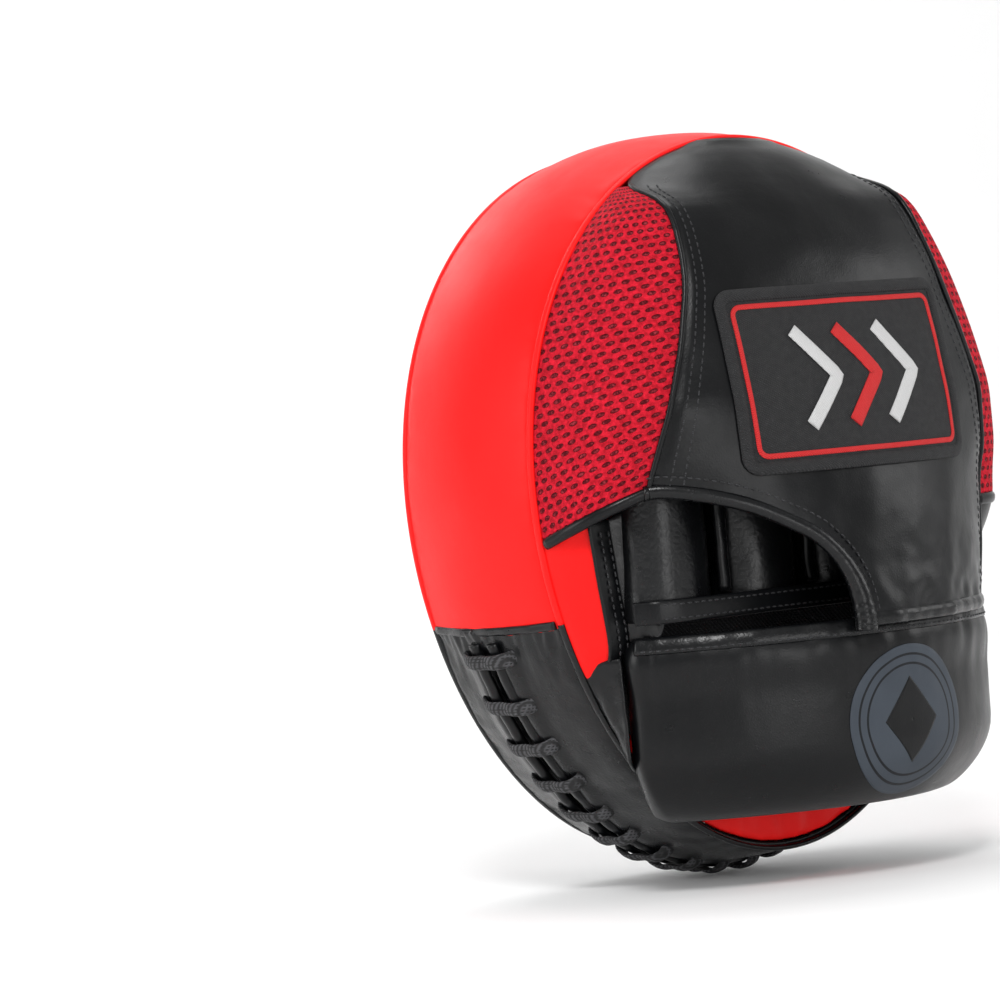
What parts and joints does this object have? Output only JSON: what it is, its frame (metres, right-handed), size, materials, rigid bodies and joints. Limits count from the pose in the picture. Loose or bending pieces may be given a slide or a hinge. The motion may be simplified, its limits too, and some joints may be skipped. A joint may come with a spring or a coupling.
{
  "type": "focus mitt",
  "caption": "Boxing focus mitt for the right hand: domed leather strike face, laced side band, padded hood with mesh sides, thumb window and wrist cuff.",
  "frame": {"origin": "palm point: middle of the red back panel, where the palm presses", "axes": "+Z towards the fingertips, +Y out of the strike face, +X towards the little finger"},
  "size_m": [0.2026, 0.1497, 0.2579],
  "materials": {
    "black_leather": "satin",
    "red_leather": "satin",
    "red_mesh": "matte",
    "lace_cord": "matte",
    "lining_cloth": "matte",
    "board": "matte",
    "foam": "matte",
    "badge_black": "matte",
    "print_grey": "satin"
  },
  "bodies": {
    "pad": {"lower_side_band": "black_leather", "lace_lip_hand_side": "black_leather", "lace_lip_strike_side": "black_leather", "lace_tongue": "black_leather", "hood_panel": "black_leather", "side_wall_little": "black_leather", "window_binding": "black_leather", "mouth_strap": "black_leather", "cuff_gusset_thumb": "black_leather", "cuff_gusset_little": "black_leather", "front_seam_welt": "black_leather", "back_seam_welt": "black_leather", "finger_stall_index": "black_leather", "finger_stall_middle": "black_leather", "finger_stall_ring": "black_leather", "finger_stall_little": "black_leather", "red_side_band": "red_leather", "back_panel": "red_leather", "side_wall_thumb": "red_leather", "mesh_side_thumb": "red_mesh", "mesh_side_little": "red_mesh", "side_lace": "lace_cord", "palm_lining": "lining_cloth", "hood_lining": "lining_cloth", "palm_board": "board", "cushion_foam": "foam", "impact_foam": "foam", "hood_padding": "foam", "badge_cloth": "badge_black", "badge_border": "badge_black"},
    "cuff": {"cuff_cover": "black_leather", "cuff_foam": "foam", "cuff_lining": "lining_cloth", "cuff_roundel": "print_grey"},
    "strike_face": {"strike_panel": "black_leather", "strike_emblem": "print_grey"}
  },
  "joints": [
    {"name": "cuff_swing", "type": "hinge", "parent": "pad", "child": "cuff", "pos_m": [0, -0.06, -0.044], "axis": [-1, 0, 0], "range_deg": [0, 15], "stiffness_Nm_per_rad": 1.2, "deforming": ["cuff_gusset_thumb", "cuff_gusset_little"]},
    {"name": "strike_compress", "type": "slide", "parent": "pad", "child": "strike_face", "axis": [0, -1, 0], "range_m": [0, 0.008], "stiffness_N_per_m": 4000, "deforming": ["impact_foam"]}
  ]
}
